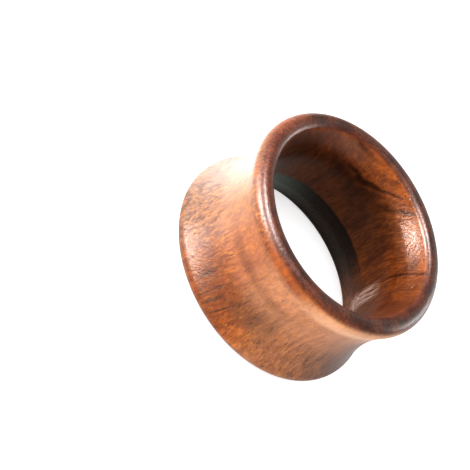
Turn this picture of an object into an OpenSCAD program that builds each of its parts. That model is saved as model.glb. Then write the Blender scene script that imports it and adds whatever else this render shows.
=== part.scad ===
// Double-flared wooden flesh tunnel, turned from one piece.
// It stands on one rim with its axis upright. The origin is the centre of that rim's face.

/* [Outside] */
// Diameter of the waist, where the ear lobe sits
gauge_d = 25.4; // [22:0.1:26.4]
// Diameter over each flared rim
flare_d = 27.7; // [27:0.1:30]
// Length from rim to rim along the axis
length = 15.1; // [12:0.1:20]
// Radius of the rim's rounded outer edge
outer_round = 1.35; // [0.9:0.05:1.6]

/* [Inside] */
// Diameter of the straight stretch in the middle of the hole
bore_d = 20.6; // [18:0.1:21.6]
// Length of the straight stretch
bore_len = 5.6; // [2:0.2:8]
// Diameter of the mouth, where the hole's flare meets the rim's rounded inner edge
mouth_d = 23; // [22.4:0.1:23.4]
// Radius of the rim's rounded inner edge
inner_round = 0.5; // [0.3:0.05:0.75]

/* [Hidden] */
$fn = 180;

// Neighbouring surfaces cross by this much, so that they meet in a clear line
cross = 0.01;

waist_r = gauge_d / 2;
flare_r = flare_d / 2;
bore_r = bore_d / 2;
mouth_r = mouth_d / 2;
half_len = length / 2;
wood = [0.60, 0.31, 0.19];

// Centres of the rim's two rounded edges, as radius and height above mid-length
outer_edge = [flare_r - outer_round, half_len + cross - outer_round];
inner_edge = [mouth_r + inner_round, half_len + cross - inner_round];
// Radius midway across the rim's face
face_r = (outer_edge[0] + inner_edge[0]) / 2;

// The saddle outside is an arc through the waist that runs into the rounded outer edge
reach = outer_round - cross;
inset = waist_r - outer_edge[0];
saddle_r = (pow(outer_edge[1], 2) + pow(inset, 2) - pow(reach, 2)) / (2 * (reach - inset));
saddle_x = waist_r + saddle_r;
// Radius at which the saddle and the rounded outer edge meet
meet_r = outer_edge[0] + outer_round * (saddle_x - outer_edge[0]) / (saddle_r + outer_round);

// The hole's flare is a cone from the straight stretch to the rounded inner edge
cone_angle = atan((mouth_r - bore_r) / (inner_edge[1] - bore_len / 2));
cone_end = inner_edge + (inner_round - cross) * [-cos(cone_angle), sin(cone_angle)];

// The wall between the curved surfaces, upper half, from the straight stretch outwards.
// Its top is left long: the rims' faces are cut afterwards.
upper_wall = [
    [bore_r, bore_len / 2],
    cone_end,
    inner_edge,
    [inner_edge[0], half_len + 1],
    [outer_edge[0], half_len + 1],
    outer_edge,
    [meet_r, outer_edge[1]]
];

// The points of the upper half, then the same points below mid-length in reverse order
function both_halves(points) = concat(
    points,
    [for (i = [len(points) - 1 : -1 : 0]) [points[i][0], -points[i][1]]]
);

// A ring of round section about the axis: its centre is given as radius and height
module round_ring(centre, section_r) {
    rotate_extrude()
        translate(centre)
            circle(r = section_r);
}

// Hollow wall with straight sides, before it is rounded
module wall() {
    rotate_extrude()
        polygon(both_halves(upper_wall));
}

// Rounded edges of both rims. The outer one stays clear of the hole's flare.
module rim_edges() {
    for (side = [-1, 1]) {
        difference() {
            round_ring([outer_edge[0], side * outer_edge[1]], outer_round);
            cylinder(h = 2 * length, r = face_r, center = true);
        }
        round_ring([inner_edge[0], side * inner_edge[1]], inner_round);
    }
}

// The turned ring: wall and rim edges, hollowed by the saddle and cut flat at both rims
module tunnel() {
    color(wood)
        translate([0, 0, half_len])
            intersection() {
                difference() {
                    union() {
                        wall();
                        rim_edges();
                    }
                    round_ring([saddle_x, 0], saddle_r);
                }
                cylinder(h = length, r = flare_d, center = true);
            }
}

tunnel();
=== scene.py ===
"""Looks of the wooden flesh tunnel: a turned ring of oiled red-brown hardwood on a pale floor.

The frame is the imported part's: metres, Z up along the tunnel's axis, origin at the centre of
the rim that it stands on. Sizes below are in millimetres where no comment says otherwise.
"""

import math
from collections import namedtuple

import bpy
import numpy as np
from mathutils import Matrix, Vector


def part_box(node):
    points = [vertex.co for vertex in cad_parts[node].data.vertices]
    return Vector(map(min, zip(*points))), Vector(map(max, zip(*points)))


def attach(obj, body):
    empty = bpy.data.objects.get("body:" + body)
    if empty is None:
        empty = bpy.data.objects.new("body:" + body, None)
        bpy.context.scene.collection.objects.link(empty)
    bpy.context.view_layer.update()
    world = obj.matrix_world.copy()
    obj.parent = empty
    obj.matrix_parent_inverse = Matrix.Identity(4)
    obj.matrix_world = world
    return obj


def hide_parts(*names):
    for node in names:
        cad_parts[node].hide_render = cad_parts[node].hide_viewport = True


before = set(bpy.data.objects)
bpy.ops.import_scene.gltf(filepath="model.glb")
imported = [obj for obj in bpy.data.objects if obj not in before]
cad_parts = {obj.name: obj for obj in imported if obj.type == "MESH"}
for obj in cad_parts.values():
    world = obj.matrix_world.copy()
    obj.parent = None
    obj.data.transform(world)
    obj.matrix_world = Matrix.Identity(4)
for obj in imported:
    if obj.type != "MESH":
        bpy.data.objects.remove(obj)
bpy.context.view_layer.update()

MM = 0.001
PHOTO_SIZE = 470

# Turned profile: the outside
low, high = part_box("tunnel")
FLARE_R = high.x / MM
HALF_LEN = (high.z - low.z) / 2 / MM
WAIST_R = 12.7
OUTER_ROUND = 1.35
# Turned profile: the hole's straight middle, then heights from mid-length up the flare, each with
# the flare's slope there in degrees
BORE_R = 10.3
FLARE_SLOPES = ((1.8, 0), (3.2, 11), (4.2, 13), (4.9, 21), (6.2, 21), (6.9, 14))
# Radii in the wall between which the hole's wood gives way to the outside's
WALL_MIDDLE = (11.9, 12.2)
# Z part of the surface's normal at which end grain starts, and at which it is full
END_GRAIN_TILT = (0.3, 0.75)

# Points along half the section, and mesh steps round the ring
SADDLE_POINTS = 30
OUTER_EDGE_POINTS = 22
FACE_POINTS = 6
INNER_EDGE_POINTS = 14
FLARE_POINTS = 26
BORE_POINTS = 6
STEPS_ROUND = 480

# The tree's centre line runs along Z, in front of the ring, and its growth rings are wavy
PITH = (8.45, -18.1)
RING_WAVE = 0.6

# The wood is one material at three levels of gloss. The second and the third are used in the
# hole, below these heights from mid-length.
WOODS = (("oiled_wood", 0.35), ("half_dull_wood", 0.2), ("dull_wood", 0.08))
DULL_BELOW = (4.8, 3.4)
SHEEN = 0.05
SHEEN_ROUGHNESS = 0.25
LEAST_ROUGHNESS = 0.27
FIBRE_ROUGHNESS = 0.14
SADDLE_DULLNESS = 0.1
# The relief's depth, the fibre's share in it, and how much of it is left on end grain
RELIEF_DEPTH = 0.045
FIBRE_RELIEF = 0.4
END_GRAIN_RELIEF = 0.7

# Ground colours of the wood, of its dark and golden parts, of the rims, and of the painted shade
# low in the hole and its grey painted reflection
MID_WOOD = (0.1, 0.024, 0.004)
LIGHT_WOOD = (0.16, 0.047, 0.01)
DARK_WOOD = (0.036, 0.008, 0.002)
GOLDEN_WOOD = (0.3, 0.118, 0.02)
BLACK_WOOD = (0.014, 0.005, 0.003)
END_GRAIN = (0.105, 0.036, 0.025)
DARK_END_GRAIN = (0.042, 0.018, 0.018)
# Painted shade low in the hole, and the grey painted reflection that it turns into
HOLE_SHADE = (0.005, 0.004, 0.002)
HOLE_GREY_REFLECTION = (0.06, 0.095, 0.075)

# A paint is a colour, and how much of it shows where its mask is full
Paint = namedtuple("Paint", "colour cover")

# Broad areas of another tone
MAUVE = Paint((0.11, 0.031, 0.015), 0.5)
EMBER = Paint((0.22, 0.062, 0.005), 0.55)
HOLE = Paint((0.38, 0.125, 0.036), 0.55)
SATIN = Paint((0.22, 0.093, 0.05), 0.5)
HONEY = Paint((0.28, 0.14, 0.075), 0.55)
# Paler, greyer wood away from the tree's centre: partly the wood's tone and partly painted sheen on
# the side toward the lamps
PALE = Paint((0.18, 0.11, 0.07), 0.5)
# Grain
STREAK = Paint(DARK_WOOD, 0.5)
FIBRE = Paint(DARK_WOOD, 0.4)
GOLD = Paint(GOLDEN_WOOD, 0.6)
PEBBLE = Paint(GOLDEN_WOOD, 0.24)
FLECK = Paint(GOLDEN_WOOD, 0.5)
CURL = Paint((0.05, 0.015, 0.005), 0.75)
VEIN = Paint(BLACK_WOOD, 0.65)
HAIR = Paint(BLACK_WOOD, 0.45)
VESSEL = Paint(BLACK_WOOD, 0.45)
# Marks on the outside, among them painted shade and a painted reflection of the floor
CREASE_SHADE = Paint(DARK_WOOD, 0.32)
WAIST_SHADE = Paint((0.07, 0.038, 0.02), 0.4)
RED = Paint((0.06, 0.012, 0.0005), 0.45)
SHADE = Paint(DARK_WOOD, 0.5)
AMBER = Paint((0.17, 0.042, 0.005), 0.5)
FLOOR_REFLECTION = Paint((0.42, 0.24, 0.14), 0.55)
# Marks in the hole, among them painted shade, a painted reflection and a painted highlight
NEAR_SIDE = Paint(DARK_WOOD, 0.35)
MAROON = Paint((0.06, 0.02, 0.015), 0.4)
RIPPLE = Paint(DARK_WOOD, 0.25)
MOUTH_SHEEN = Paint((0.13, 0.1, 0.095), 0.4)
FAR_WALL_SHADE = Paint((0.035, 0.036, 0.03), 0.33)
STREAKY_HIGHLIGHT = Paint((0.7, 0.52, 0.45), 0.85)
# Marks on the rims: painted light on the side toward the key light, and speckles
LIT_SIDE_RIM = Paint((0.2, 0.07, 0.045), 0.5)
SPECKLE = Paint(BLACK_WOOD, 0.6)
# How much of the rims' colour and of the painted shade low in the hole shows
RIM_COVER = 0.8
HOLE_SHADE_COVER = 0.88
# Streaks and fibre lose this much where the wood is calmest, which is the satin waist. They
# lose these shares of it near the tree's centre and in the hole.
CALM_LOSS = 0.5
CALM_CENTRE = 0.7
CALM_HOLE = 0.6
# Shares of a full mask: ember on the red stretch, honey down its side, more fibre in the hole
EMBER_ON_RED = 0.8
HONEY_SIDE = 0.9
HOLE_FIBRE = 0.25
# Random numbers below which no grain shows, and above which each shows fully
CHOSEN_GRAINS = (0.3, 0.6)

# Where the marks lie. Azimuths are in degrees about the axis, heights are from mid-length. A
# stretch is (none, full, full, none), an edge is the two values between which a mark changes.
# The painted sheen under the inner edge, the painted shade on the far wall and the painted shade
# low in the hole have a start only and run on to azimuth 180, where they stop at once, and amber
# begins there.
SATIN_HEIGHTS = (-2.5, 0.5, 4.8, 6.2)
HONEY_AZIMUTHS = (-80, -55, -25, 0)
# Painted shade along the waist's crease, under the upper flare
CREASE_SHADE_AZIMUTHS = (-135, -110, -75, -50)
CREASE_SHADE_HEIGHT = 1.3
CREASE_SHADE_FADE = (0.1, 1.3)
# Grey painted shade on the near side of the waist and lower flare
WAIST_SHADE_AZIMUTHS = (-94, -80, -66, -50)
WAIST_SHADE_HEIGHTS = (-4.8, -3.0, -0.4, 2.0)
RED_AZIMUTHS = (-138, -116, -88, -74)
RED_HEIGHTS = (-7.5, -6, -3, -0.8)
SHADE_AZIMUTHS = (-42, -8, 20, 60)
SHADE_TOP = (1, 3.5)
AMBER_END = (-70, -45)
AMBER_FOOT = (6.0, 6.5)
# Painted reflection of the floor, cream, under the upper rim's outer edge on the near right
FLOOR_REFLECTION_AZIMUTHS = (-78, -50, -12, 0)
FLOOR_REFLECTION_HEIGHTS = (3.8, 5.4, 6.4, 7.1)
SADDLE_END = (6.4, 7.3)
CURL_TOP = (-2.0, 0.5)
HAIR_TOP = (-1.5, 0.5)
RIPPLE_FOOT = (0, 2.5)
# Grey painted reflection on the flare under the rim's inner edge, on the far left
MOUTH_SHEEN_START = (105, 135)
MOUTH_SHEEN_HEIGHTS = (4, 5.3, 6.6, 7.2)
# Painted shade on the far wall of the hole, up to a height
FAR_WALL_SHADE_START = (55, 85)
FAR_WALL_SHADE_TOP = (2.5, 5.5)
# Painted highlight: pale streaks along the grain, low on one side of the hole
STREAKY_HIGHLIGHT_AZIMUTH = 38
STREAKY_HIGHLIGHT_FADE = (3, 8)
STREAKY_HIGHLIGHT_HEIGHTS = (-5.2, -3.8, -0.6, 1.2)
# Painted shade low in the hole: where it starts round the ring, its top, and where it turns grey
HOLE_SHADE_START = (40, 80)
HOLE_SHADE_TOP = (-2.6, -2.2)
HOLE_GREY_REFLECTION_START = (110, 150)
# Edges of the rims' painted light on the side toward the key light, along X and along Y
LIT_SIDE_RIM_X = (-11.5, -6)
LIT_SIDE_RIM_Y = (-3, 3)

# Growth rings, by their radius, at which the wood changes
HONEY_RINGS = (8, 12)
CALM_RINGS = (9, 12)
GOLD_RINGS = (9, 16)
HAIR_RINGS = (11, 15)
PALE_RINGS = (14, 20)
NEAR_RINGS = (20, 25)

# Dark veins where a growth ring ends: the ring's radius, the vein's half width, the azimuth of
# its middle, and the heights where it starts and ends
VEINS = (
    (8.9, 0.16, -86, -6.2, -2.6),
    (10.1, 0.3, -91, -6.2, -3.6),
    (11.0, 0.14, -97, -6.4, -2.8),
    (12.8, 0.45, -104, -5.4, -3.0),
    (25.03, 0.3, 40, 0.6, 7.3),
    (29.75, 0.3, 80, 3.4, 7.2),
    (30.5, 0.14, 98, 2.8, 7.2),
    (30.5, 0.13, 112, 2.2, 5.0),
    (31.35, 0.28, 123, 6.2, 8.0),
)
# Degrees from a vein's middle between which it fades, and how far its soft ends reach out of and
# into its heights
VEIN_FADE = (9, 14)
VEIN_OVERRUN = 0.5
VEIN_TAPER = 0.7

# Camera: its place on a sphere about the tunnel's centre, and the pixel where that centre lands
CAMERA_ELEVATION = math.radians(39.315)
CAMERA_ROLL = math.radians(59.614)
CAMERA_DISTANCE = 684.05
FOCAL_PIXELS = 6000
SENSOR_WIDTH = 36
CENTRE_PIXEL_X = 308.90
CENTRE_PIXEL_Y = 247.08

# Floor: half its width in metres, the greys that it varies between, and its own glow
FLOOR_HALF = 2.5
FLOOR_GREYS = ((0.54, 0.54, 0.54), (0.56, 0.56, 0.56))
FLOOR_ROUGHNESS = 0.6
FLOOR_GLOW = 0.5
WORLD_STRENGTH = 0.2

# Soft boxes that face the tunnel's centre: name, azimuth and elevation in degrees, distance,
# width and height in metres, power in watts, whether it lights surfaces, whether they mirror it
SOFT_BOXES = (
    ("key_light", -152, 16, 0.5, 0.36, 0.28, 1.8, True, True),
    ("side_light", 174, 10, 0.5, 0.4, 0.24, 4.0, True, False),
    ("fill_light", -80, 6, 0.5, 0.4, 0.1, 4.0, True, False),
    ("high_light", -118, 46, 0.6, 0.34, 0.15, 0.8, True, True),
    ("overhead_light", -90, 89, 0.6, 0.42, 0.42, 1.1, True, True),
    ("back_light", 72, 26, 0.6, 0.5, 0.3, 0.7, True, True),
    ("lip_light", -158, 59, 0.6, 0.36, 0.1, 8, False, True),
    ("mouth_light", -138, 11, 0.5, 0.22, 0.15, 7.0, False, True),
    ("edge_light", 54, 12, 0.5, 0.26, 0.16, 0.9, False, True),
    ("low_light", 5, 2, 0.45, 0.12, 0.05, 0.15, False, True),
    ("flare_light", -135, -17, 0.023, 0.006, 0.004, 0.0007, False, True),
)
# The lamp that lights a round patch of floor beside the tunnel, its power in watts
PATCH_X = -24
PATCH_Y = 0
PATCH_WIDTH = 26
PATCH_LAMP_HEIGHT = 400
PATCH_LAMP_POWER = 44


# Geometry

def arc(centre_r, centre_z, radius, start, end, count):
    """Points on an arc, as (distance from the axis, height), angles from the outward level."""
    angle = np.linspace(start, end, count)
    return np.stack([centre_r + radius * np.cos(angle), centre_z + radius * np.sin(angle)], axis=1)


def line(start, end, count):
    """Evenly spaced points from start to end."""
    share = np.linspace(0, 1, count)[:, None]
    return np.asarray(start) * (1 - share) + np.asarray(end) * share


def outside_points():
    """From the waist up the saddle and over the rim's outer edge to its face."""
    edge_r = FLARE_R - OUTER_ROUND
    edge_z = HALF_LEN - OUTER_ROUND
    inset = WAIST_R - edge_r
    saddle = (edge_z ** 2 + inset ** 2 - OUTER_ROUND ** 2) / (2 * (OUTER_ROUND - inset))
    centre_r = WAIST_R + saddle
    turn = math.atan2(edge_z, centre_r - edge_r)
    waist_to_edge = arc(centre_r, 0, saddle, math.pi, math.pi - turn, SADDLE_POINTS)
    outer_edge = arc(edge_r, edge_z, OUTER_ROUND, -turn, math.pi / 2, OUTER_EDGE_POINTS)
    return np.concatenate([waist_to_edge, outer_edge[1:]])


def flare_points(heights, slopes):
    """Up the hole's flare, whose slope in radians is given at some heights."""
    z = np.linspace(heights[0], heights[-1], FLARE_POINTS)
    slope = np.interp(z, heights, slopes)
    steps = np.tan((slope[1:] + slope[:-1]) / 2) * np.diff(z)
    r = BORE_R + np.concatenate([[0], np.cumsum(steps)])
    return np.stack([r, z], axis=1)


def inside_points():
    """From the rim's face over its inner edge and down the flare to the middle of the hole."""
    heights, slopes = np.transpose(FLARE_SLOPES)
    flare = flare_points(heights, np.radians(slopes))[::-1]
    top_r, top_z = flare[0]
    lean = math.radians(slopes[-1])
    edge_round = (HALF_LEN - top_z) / (1 - math.sin(lean))
    edge_r = top_r + edge_round * math.cos(lean)
    edge_z = HALF_LEN - edge_round
    inner_edge = arc(edge_r, edge_z, edge_round, math.pi / 2, math.pi - lean, INNER_EDGE_POINTS)
    bore = line(flare[-1], (BORE_R, 0), BORE_POINTS)
    return np.concatenate([inner_edge, flare[1:], bore[1:]])


def section():
    """The closed section, up the outside and down the hole, height measured from the middle."""
    outside = outside_points()
    inside = inside_points()
    face = line(outside[-1], inside[0], FACE_POINTS)[1:-1]
    upper = np.concatenate([outside, face, inside])
    lower = upper[::-1] * [1, -1]
    return np.concatenate([upper, lower[1:-1]])


def gloss_levels(outline):
    """For each side of the outline, which of the woods it has: the first, but deep in the hole."""
    middle_r, middle_z = ((outline + np.roll(outline, -1, axis=0)) / 2).T
    in_hole = middle_r < (FLARE_R + BORE_R) / 2
    depth = sum(middle_z <= height for height in DULL_BELOW)
    return np.where(in_hole, depth, 0)


def turned_mesh(name, outline, steps):
    """A mesh of the outline turned about Z, in metres and standing on the floor."""
    angle = np.arange(steps) * 2 * math.pi / steps
    count = len(outline)
    radius = outline[:, 0][None, :]
    x = radius * np.cos(angle)[:, None]
    y = radius * np.sin(angle)[:, None]
    z = np.broadcast_to(outline[:, 1] + HALF_LEN, (steps, count))
    points = np.stack([x, y, z], axis=2).reshape(-1, 3) * MM
    ring, row = np.meshgrid(np.arange(steps), np.arange(count), indexing="ij")
    next_ring = (ring + 1) % steps
    next_row = (row + 1) % count
    corners = [ring * count + row, next_ring * count + row,
               next_ring * count + next_row, ring * count + next_row]
    faces = np.stack(corners, axis=2).reshape(-1, 4)
    mesh = bpy.data.meshes.new(name)
    mesh.from_pydata(points.tolist(), [], faces.tolist())
    mesh.shade_smooth()
    return mesh


def add_object(name, data):
    piece = bpy.data.objects.new(name, data)
    bpy.context.scene.collection.objects.link(piece)
    return piece


# Material nodes

class Graph:
    """Adds nodes to one material. Each call takes sockets or plain values and returns a socket."""

    def __init__(self, name):
        self.material = bpy.data.materials.new(name)
        self.material.use_nodes = True
        self.tree = self.material.node_tree
        self.shader = self.tree.nodes["Principled BSDF"]

    def feed(self, socket, value):
        if isinstance(value, bpy.types.NodeSocket):
            self.tree.links.new(value, socket)
        else:
            socket.default_value = value

    def math(self, operation, first, second=0.0, clamp=False):
        node = self.tree.nodes.new("ShaderNodeMath")
        node.operation = operation
        node.use_clamp = clamp
        self.feed(node.inputs[0], first)
        self.feed(node.inputs[1], second)
        return node.outputs[0]

    def times(self, first, *others):
        """The product of all the values."""
        product = first
        for other in others:
            product = self.math("MULTIPLY", product, other)
        return product

    def vector(self, operation, first, second=(0, 0, 0)):
        node = self.tree.nodes.new("ShaderNodeVectorMath")
        node.operation = operation
        self.feed(node.inputs[0], first)
        self.feed(node.inputs[1], second)
        return node.outputs["Value" if operation == "LENGTH" else "Vector"]

    def level_length(self, vector):
        """Length of a vector without its Z part."""
        return self.vector("LENGTH", self.vector("MULTIPLY", vector, (1, 1, 0)))

    def split(self, vector):
        node = self.tree.nodes.new("ShaderNodeSeparateXYZ")
        self.feed(node.inputs[0], vector)
        return node.outputs

    def point(self):
        """Place on the object, in millimetres."""
        node = self.tree.nodes.new("ShaderNodeTexCoord")
        return self.vector("MULTIPLY", node.outputs["Object"], (1 / MM,) * 3)

    def normal_z(self):
        node = self.tree.nodes.new("ShaderNodeNewGeometry")
        return self.split(node.outputs["Normal"])["Z"]

    def noise(self, place, stretch, detail=2.0, roughness=0.5):
        """Noise with features of 1 / stretch along each axis, around 0.5."""
        node = self.tree.nodes.new("ShaderNodeTexNoise")
        self.feed(node.inputs["Vector"], self.vector("MULTIPLY", place, stretch))
        node.inputs["Scale"].default_value = 1
        node.inputs["Detail"].default_value = detail
        node.inputs["Roughness"].default_value = roughness
        return node.outputs["Fac"]

    def patches(self, place, stretch, edge, detail=2.0, roughness=0.5):
        """Patches of 1 on 0, with a soft edge between two values of the noise."""
        return self.ramp(self.noise(place, stretch, detail, roughness), *edge)

    def bands(self, distance, scale, detail):
        """Noise that depends on one distance only."""
        node = self.tree.nodes.new("ShaderNodeTexNoise")
        node.noise_dimensions = "1D"
        self.feed(node.inputs["W"], distance)
        node.inputs["Scale"].default_value = scale
        node.inputs["Detail"].default_value = detail
        return node.outputs["Fac"]

    def grains(self, place, stretch, core, reach):
        """Scattered grains, 1 within core of their middle and 0 from reach, chosen at random."""
        node = self.tree.nodes.new("ShaderNodeTexVoronoi")
        self.feed(node.inputs["Vector"], self.vector("MULTIPLY", place, stretch))
        node.inputs["Scale"].default_value = 1
        grain = self.fall(node.outputs["Distance"], core, reach)
        chosen = self.ramp(self.split(node.outputs["Color"])["X"], *CHOSEN_GRAINS)
        return self.times(grain, chosen)

    def ramp(self, value, low, high, low_result=0.0, high_result=1.0):
        """A smooth step between two results as value goes from low to high."""
        node = self.tree.nodes.new("ShaderNodeMapRange")
        node.interpolation_type = "SMOOTHSTEP"
        self.feed(node.inputs["Value"], value)
        node.inputs["From Min"].default_value = low
        node.inputs["From Max"].default_value = high
        node.inputs["To Min"].default_value = low_result
        node.inputs["To Max"].default_value = high_result
        return node.outputs[0]

    def fall(self, value, full, none):
        """A smooth step down from 1 to 0."""
        return self.ramp(value, full, none, 1, 0)

    def window(self, value, start, full, fade, end):
        """1 from full to fade, running out smoothly to 0 at start and end."""
        return self.times(self.ramp(value, start, full), self.fall(value, fade, end))

    def near(self, value, middle, full, none):
        """1 within full of the middle, running out smoothly to 0 at none from it."""
        return self.fall(self.math("ABSOLUTE", self.math("SUBTRACT", value, middle)), full, none)

    def blend(self, share, first, second):
        node = self.tree.nodes.new("ShaderNodeMix")
        node.data_type = "RGBA"
        sockets = {socket.identifier: socket for socket in node.inputs}
        self.feed(sockets["Factor_Float"], share)
        self.feed(sockets["A_Color"], rgba(first))
        self.feed(sockets["B_Color"], rgba(second))
        return next(socket for socket in node.outputs if socket.identifier == "Result_Color")

    def paint(self, colour, layers, within=1.0):
        """Layers over a colour, in order, each a mask and a paint, kept within one more mask."""
        for mask, paint in layers:
            colour = self.blend(self.times(mask, within, paint.cover), colour, paint.colour)
        return colour

    def bump(self, height, depth):
        """Surface normal for a height of 0 to 1 that stands for a depth in millimetres."""
        node = self.tree.nodes.new("ShaderNodeBump")
        node.inputs["Strength"].default_value = 1
        node.inputs["Distance"].default_value = depth * MM
        self.feed(node.inputs["Height"], height)
        return node.outputs["Normal"]


def rgba(colour):
    """A plain colour gets an alpha of 1; a socket stays as it is."""
    return (*colour, 1) if isinstance(colour, tuple) else colour


# The wood: where a point lies and the grain there

class Wood:
    """Sockets for a point's place on the ring and in the tree, and what most masks share."""

    def __init__(self, graph):
        self.place = graph.point()
        self.x, self.y, z = graph.split(self.place)
        self.height = graph.math("SUBTRACT", z, HALF_LEN)
        self.azimuth = graph.math("DEGREES", graph.math("ARCTAN2", self.y, self.x))
        self.ring = growth_ring(graph, self.place)
        self.outside = graph.ramp(graph.level_length(self.place), *WALL_MIDDLE)
        self.inside = graph.math("SUBTRACT", 1, self.outside)
        self.end_grain = graph.ramp(graph.math("ABSOLUTE", graph.normal_z()), *END_GRAIN_TILT)
        self.fibre = graph.noise(self.place, stretch=(5, 5, 1.2), detail=3, roughness=0.65)
        self.pebble = graph.noise(self.place, stretch=(3.2, 3.2, 1.6), roughness=0.6)
        self.vessels = graph.grains(self.place, stretch=(3.2, 3.2, 0.45), core=0.06, reach=0.24)
        self.satin = graph.times(graph.window(self.height, *SATIN_HEIGHTS), self.outside)
        # Paler wood away from the tree's centre, partly painted sheen
        self.pale = graph.times(graph.ramp(self.ring, *PALE_RINGS), self.outside)
        self.red = graph.times(graph.window(self.azimuth, *RED_AZIMUTHS),
                               graph.window(self.height, *RED_HEIGHTS))


def growth_ring(graph, place):
    """Distance from the tree's centre line, slightly wavy, in millimetres."""
    distance = graph.level_length(graph.vector("SUBTRACT", place, (*PITH, 0)))
    wave = graph.math("SUBTRACT", graph.noise(place, stretch=(0.25, 0.25, 0.12)), 0.5)
    return graph.math("ADD", distance, graph.times(wave, RING_WAVE))


def veins(graph, wood):
    """Thin dark lines along single growth rings, each over a short stretch of the wall."""
    total = 0.0
    for ring, half_width, azimuth, foot, top in VEINS:
        across = graph.near(wood.ring, ring, 0, half_width)
        aside = graph.near(wood.azimuth, azimuth, *VEIN_FADE)
        along = graph.window(wood.height, foot - VEIN_OVERRUN, foot + VEIN_TAPER,
                             top - VEIN_TAPER, top + VEIN_OVERRUN)
        total = graph.math("ADD", total, graph.times(across, aside, along), clamp=True)
    unbroken = graph.patches(wood.place, stretch=(0.5, 0.5, 0.4), edge=(0.25, 0.45), detail=1)
    return graph.times(total, unbroken)


def flecks(graph, wood):
    """Small golden flecks, in patches."""
    grains = graph.grains(wood.place, stretch=(2.3, 2.3, 1.0), core=0.05, reach=0.5)
    patches = graph.patches(wood.place, stretch=(0.22, 0.22, 0.16), edge=(0.42, 0.6))
    return graph.times(grains, patches)


def curls(graph, wood):
    """Dark curls low on the pale side."""
    figure = graph.patches(wood.place, stretch=(1.7, 1.7, 0.9), edge=(0.5, 0.62),
                           detail=3, roughness=0.6)
    return graph.times(figure, wood.pale, graph.fall(wood.height, *CURL_TOP))


def gold(graph, wood):
    """Golden grain outside, weaker near the tree's centre."""
    figure = graph.patches(wood.place, stretch=(3, 3, 0.8), edge=(0.5, 0.68), roughness=0.6)
    farther = graph.ramp(wood.ring, *GOLD_RINGS, low_result=0.3)
    return graph.times(figure, farther, wood.outside)


def hairs(graph, wood):
    """Fine dark hairs along the grain, most of them low and near the tree's centre."""
    figure = graph.patches(wood.place, stretch=(5.5, 5.5, 0.45), edge=(0.56, 0.68))
    lower = graph.ramp(wood.height, *HAIR_TOP, low_result=1, high_result=0.15)
    nearer = graph.ramp(wood.ring, *HAIR_RINGS, low_result=1, high_result=0.4)
    return graph.times(figure, lower, nearer)


def grain_strength(graph, wood):
    """How strong streaks and fibre are: weaker on the waist, in the hole and near the centre."""
    near_centre = graph.times(graph.fall(wood.ring, *CALM_RINGS), CALM_CENTRE)
    in_hole = graph.times(wood.inside, CALM_HOLE)
    calm = graph.math("MAXIMUM", graph.math("MAXIMUM", wood.satin, near_centre), in_hole)
    return graph.math("SUBTRACT", 1, graph.times(calm, CALM_LOSS))


def ember(graph, wood):
    """Orange wood outside, in patches and all over the red stretch."""
    patches = graph.patches(wood.place, stretch=(0.4, 0.4, 0.22), edge=(0.48, 0.62))
    on_red = graph.times(wood.red, EMBER_ON_RED)
    return graph.times(graph.math("MAXIMUM", patches, on_red), wood.outside)


def honey(graph, wood):
    """Yellower wood outside, on the satin waist near the tree's centre and all down one side."""
    waist = graph.times(graph.fall(wood.ring, *HONEY_RINGS), wood.satin)
    side = graph.times(graph.window(wood.azimuth, *HONEY_AZIMUTHS), HONEY_SIDE)
    return graph.times(graph.math("MAXIMUM", waist, side), wood.outside)


# The wood's colour, layer by layer

def ground_colour(graph, wood):
    """The seasons' growth, and over it the broad areas of another tone."""
    season = graph.ramp(graph.bands(wood.ring, scale=1.1, detail=3), low=0.36, high=0.64)
    mauve = graph.patches(wood.place, stretch=(0.6, 0.6, 0.25), edge=(0.45, 0.65))
    return graph.paint(graph.blend(season, MID_WOOD, LIGHT_WOOD), (
        (mauve, MAUVE),
        (ember(graph, wood), EMBER),
        (wood.inside, HOLE),
        (wood.satin, SATIN),
        (honey(graph, wood), HONEY),
        (wood.pale, PALE),
    ))


def add_grain(graph, wood, colour):
    """Dark streaks and fibre, and golden grain between them."""
    strength = grain_strength(graph, wood)
    streak = graph.noise(wood.place, stretch=(1.7, 1.7, 0.3), detail=3, roughness=0.6)
    streak = graph.times(graph.fall(streak, full=0.38, none=0.6), strength)
    fibre = graph.times(graph.fall(wood.fibre, full=0.4, none=0.58), strength)
    hole_fibre = graph.times(graph.fall(wood.fibre, full=0.36, none=0.5), wood.inside, HOLE_FIBRE)
    return graph.paint(colour, (
        (streak, STREAK),
        (gold(graph, wood), GOLD),
        (graph.ramp(wood.pebble, low=0.5, high=0.75), PEBBLE),
        (curls(graph, wood), CURL),
        (flecks(graph, wood), FLECK),
        (graph.math("ADD", fibre, hole_fibre), FIBRE),
    ))


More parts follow.
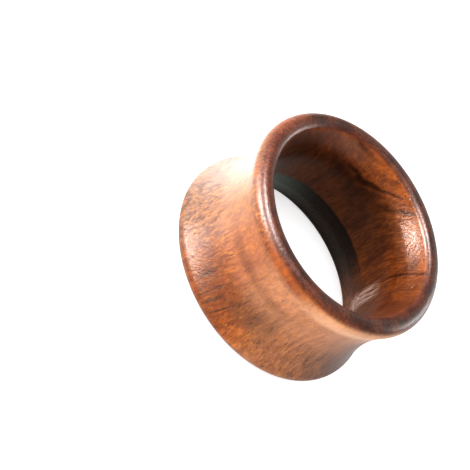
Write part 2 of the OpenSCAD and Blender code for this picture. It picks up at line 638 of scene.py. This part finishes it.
def mark_outside(graph, wood, colour):
    """Areas of another colour on the outside: red and amber wood, painted shade and a painted
    reflection.
    """
    height = wood.height
    azimuth = wood.azimuth
    # Painted shade along the waist's crease
    crease_shade = graph.times(graph.near(height, CREASE_SHADE_HEIGHT, *CREASE_SHADE_FADE),
                         graph.window(azimuth, *CREASE_SHADE_AZIMUTHS), wood.satin)
    # Grey painted shade on the near side of the waist and lower flare
    waist_shade = graph.times(graph.window(azimuth, *WAIST_SHADE_AZIMUTHS),
                         graph.window(height, *WAIST_SHADE_HEIGHTS))
    shade = graph.times(graph.window(azimuth, *SHADE_AZIMUTHS), graph.fall(height, *SHADE_TOP))
    amber = graph.times(graph.ramp(height, *AMBER_FOOT), graph.fall(azimuth, *AMBER_END),
                        graph.patches(wood.place, stretch=(0.5, 0.5, 0.5), edge=(0.38, 0.58)))
    # Painted reflection of the floor, cream, under the rim's outer edge
    floor_reflection = graph.times(graph.window(azimuth, *FLOOR_REFLECTION_AZIMUTHS),
                        graph.window(height, *FLOOR_REFLECTION_HEIGHTS))
    return graph.paint(colour, (
        (crease_shade, CREASE_SHADE),
        (waist_shade, WAIST_SHADE),
        (wood.red, RED),
        (shade, SHADE),
        (amber, AMBER),
        (floor_reflection, FLOOR_REFLECTION),
    ), within=wood.outside)


def mark_hole(graph, wood, colour):
    """Darker areas and ripples in the hole, painted shade, a painted reflection and a painted
    highlight.
    """
    height = wood.height
    azimuth = wood.azimuth
    maroon = graph.patches(wood.place, stretch=(0.33, 0.33, 0.22), edge=(0.46, 0.6),
                           detail=3, roughness=0.6)
    ripple = graph.fall(graph.bands(wood.ring, scale=3.2, detail=1), full=0.36, none=0.5)
    ripple = graph.times(ripple, graph.ramp(height, *RIPPLE_FOOT))
    # Grey painted reflection on the flare under the rim's inner edge
    mouth_sheen = graph.times(graph.ramp(azimuth, *MOUTH_SHEEN_START), graph.window(height, *MOUTH_SHEEN_HEIGHTS))
    # Painted shade on the far wall of the hole, dark and greyish
    far_wall_shade = graph.times(graph.ramp(azimuth, *FAR_WALL_SHADE_START), graph.fall(height, *FAR_WALL_SHADE_TOP))
    # Painted highlight: pale streaks along the grain, low on one side of the hole
    streaky_highlight = graph.times(graph.near(azimuth, STREAKY_HIGHLIGHT_AZIMUTH, *STREAKY_HIGHLIGHT_FADE),
                        graph.window(height, *STREAKY_HIGHLIGHT_HEIGHTS),
                        graph.patches(wood.place, stretch=(7, 7, 0.5), edge=(0.38, 0.56), detail=1))
    return graph.paint(colour, (
        (graph.fall(wood.ring, *NEAR_RINGS), NEAR_SIDE),
        (maroon, MAROON),
        (ripple, RIPPLE),
        (mouth_sheen, MOUTH_SHEEN),
        (far_wall_shade, FAR_WALL_SHADE),
        (streaky_highlight, STREAKY_HIGHLIGHT),
    ), within=wood.inside)


def add_lines(graph, wood, colour):
    """The finest and darkest marks."""
    return graph.paint(colour, (
        (veins(graph, wood), VEIN),
        (hairs(graph, wood), HAIR),
        (wood.vessels, VESSEL),
    ))


def add_rims(graph, wood, colour):
    """End grain on both rims: mottled, lighter and rosier on the side toward the key light as
    painted light, and speckled.
    """
    mottle = graph.patches(wood.place, stretch=(0.45, 0.45, 0.45), edge=(0.42, 0.62))
    # Painted light: lighter, rosier end grain on the side toward the key light
    lit_side_rim = graph.times(graph.fall(wood.x, *LIT_SIDE_RIM_X), graph.fall(wood.y, *LIT_SIDE_RIM_Y))
    speckle = graph.noise(wood.place, stretch=(3.5, 3.5, 3.5), detail=3, roughness=0.65)
    rim = graph.paint(graph.blend(mottle, END_GRAIN, DARK_END_GRAIN), (
        (lit_side_rim, LIT_SIDE_RIM),
        (graph.fall(speckle, full=0.4, none=0.56), SPECKLE),
    ))
    return graph.paint(colour, ((wood.end_grain, Paint(rim, RIM_COVER)),))


def add_hole_shade(graph, wood, colour):
    """Painted shade low in the hole: it fades in on one side, turns to a grey painted reflection
    and ends at 180.
    """
    mask = graph.times(graph.fall(wood.height, *HOLE_SHADE_TOP), graph.ramp(wood.azimuth, *HOLE_SHADE_START))
    tint = graph.blend(graph.ramp(wood.azimuth, *HOLE_GREY_REFLECTION_START), HOLE_SHADE, HOLE_GREY_REFLECTION)
    return graph.paint(colour, ((mask, Paint(tint, HOLE_SHADE_COVER)),), within=wood.inside)


# The wood's gloss and relief, and the whole materials

def wood_roughness(graph, wood):
    """Rougher where the fibre is light, and duller on the saddle than on the rims."""
    from_middle = graph.math("ABSOLUTE", wood.height)
    dull = graph.times(graph.fall(from_middle, *SADDLE_END), wood.outside, SADDLE_DULLNESS)
    rough = graph.math("ADD", graph.times(wood.fibre, FIBRE_ROUGHNESS), LEAST_ROUGHNESS)
    return graph.math("ADD", rough, dull)


def wood_relief(graph, wood):
    """Fibre and pebbles with sunk vessels, all weaker on the end grain."""
    relief = graph.math("ADD", graph.times(wood.fibre, FIBRE_RELIEF), wood.pebble)
    relief = graph.math("SUBTRACT", relief, wood.vessels)
    weaker = graph.ramp(wood.end_grain, 0, 1, low_result=1, high_result=END_GRAIN_RELIEF)
    return graph.times(relief, weaker)


def wood_material(name, gloss):
    graph = Graph(name)
    wood = Wood(graph)
    colour = ground_colour(graph, wood)
    for add_layers in (add_grain, mark_outside, mark_hole, add_lines, add_rims, add_hole_shade):
        colour = add_layers(graph, wood, colour)
    sockets = graph.shader.inputs
    graph.feed(sockets["Base Color"], colour)
    graph.feed(sockets["Roughness"], wood_roughness(graph, wood))
    graph.feed(sockets["Normal"], graph.bump(wood_relief(graph, wood), RELIEF_DEPTH))
    sockets["Specular IOR Level"].default_value = gloss
    sockets["Sheen Weight"].default_value = SHEEN
    sockets["Sheen Roughness"].default_value = SHEEN_ROUGHNESS
    return graph.material


def floor_material():
    graph = Graph("pale_floor")
    cloud = graph.noise(graph.point(), stretch=(0.02, 0.02, 0.02))
    sockets = graph.shader.inputs
    graph.feed(sockets["Base Color"], graph.blend(cloud, *FLOOR_GREYS))
    sockets["Roughness"].default_value = FLOOR_ROUGHNESS
    sockets["Emission Color"].default_value = (1, 1, 1, 1)
    sockets["Emission Strength"].default_value = FLOOR_GLOW
    return graph.material


# Scene

def build_tunnel():
    outline = section()
    mesh = turned_mesh("tunnel_wood", outline, STEPS_ROUND)
    for name, gloss in WOODS:
        mesh.materials.append(wood_material(name, gloss))
    mesh.polygons.foreach_set("material_index", np.tile(gloss_levels(outline), STEPS_ROUND))
    piece = add_object("tunnel_wood", mesh)
    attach(piece, "root")
    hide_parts("tunnel")


def build_floor():
    half = FLOOR_HALF
    corners = [(-half, -half, 0), (half, -half, 0), (half, half, 0), (-half, half, 0)]
    mesh = bpy.data.meshes.new("floor")
    mesh.from_pydata(corners, [], [(0, 1, 2, 3)])
    mesh.materials.append(floor_material())
    add_object("floor", mesh)


def camera_axes():
    """Right, up and forward of the camera, and the direction in which it stands back."""
    sin_e, cos_e = math.sin(CAMERA_ELEVATION), math.cos(CAMERA_ELEVATION)
    sin_r, cos_r = math.sin(CAMERA_ROLL), math.cos(CAMERA_ROLL)
    level_right = Vector((1, 0, 0))
    level_up = Vector((0, sin_e, cos_e))
    forward = Vector((0, cos_e, -sin_e))
    right = level_right * cos_r + level_up * sin_r
    up = level_up * cos_r - level_right * sin_r
    middle = PHOTO_SIZE / 2
    to_centre = Vector(((CENTRE_PIXEL_X - middle) / FOCAL_PIXELS,
                        (middle - CENTRE_PIXEL_Y) / FOCAL_PIXELS, 1)).normalized()
    turn = Vector((0, 0, 1)).rotation_difference(to_centre).to_matrix()
    return turn @ Matrix((right, up, forward)), -forward


def build_camera():
    """A long lens on the photograph's side of the tunnel, rolled as the photograph has it."""
    axes, back = camera_axes()
    place = Vector((0, 0, HALF_LEN)) + back * CAMERA_DISTANCE
    columns = Matrix((axes[0], axes[1], -axes[2])).transposed()
    data = bpy.data.cameras.new("camera")
    data.sensor_width = SENSOR_WIDTH
    data.lens = FOCAL_PIXELS * SENSOR_WIDTH / PHOTO_SIZE
    data.clip_start = 0.01
    camera = add_object("camera", data)
    camera.matrix_world = Matrix.Translation(place * MM) @ columns.to_4x4()
    bpy.context.scene.camera = camera


def build_world():
    world = bpy.data.worlds.new("studio")
    world.use_nodes = True
    background = world.node_tree.nodes["Background"]
    background.inputs["Color"].default_value = (1, 1, 1, 1)
    background.inputs["Strength"].default_value = WORLD_STRENGTH
    bpy.context.scene.world = world


def soft_box(name, azimuth, elevation, distance, width, height, power, lights, mirrored):
    """One rectangular lamp, turned to the tunnel's centre and hidden from the camera."""
    data = bpy.data.lights.new(name, "AREA")
    data.shape = "RECTANGLE"
    data.size = width
    data.size_y = height
    data.energy = power
    light = add_object(name, data)
    light.visible_camera = False
    light.visible_diffuse = lights
    light.visible_glossy = mirrored
    a, e = math.radians(azimuth), math.radians(elevation)
    toward = Vector((math.cos(e) * math.cos(a), math.cos(e) * math.sin(a), math.sin(e)))
    centre = Vector((0, 0, HALF_LEN * MM))
    light.location = centre + toward * distance
    light.rotation_euler = toward.to_track_quat("Z", "Y").to_euler()


def floor_lamp():
    """A narrow lamp straight down on the floor beside the tunnel."""
    data = bpy.data.lights.new("left_floor_light", "SPOT")
    data.spot_size = 2 * math.atan(PATCH_WIDTH / 2 / PATCH_LAMP_HEIGHT)
    data.spot_blend = 1
    data.energy = PATCH_LAMP_POWER
    lamp = add_object("left_floor_light", data)
    lamp.location = (PATCH_X * MM, PATCH_Y * MM, PATCH_LAMP_HEIGHT * MM)


build_camera()
build_world()
build_floor()
build_tunnel()
for box in SOFT_BOXES:
    soft_box(*box)
floor_lamp()
bpy.context.scene.view_settings.view_transform = "Standard"
bpy.context.scene.view_settings.look = "High Contrast"
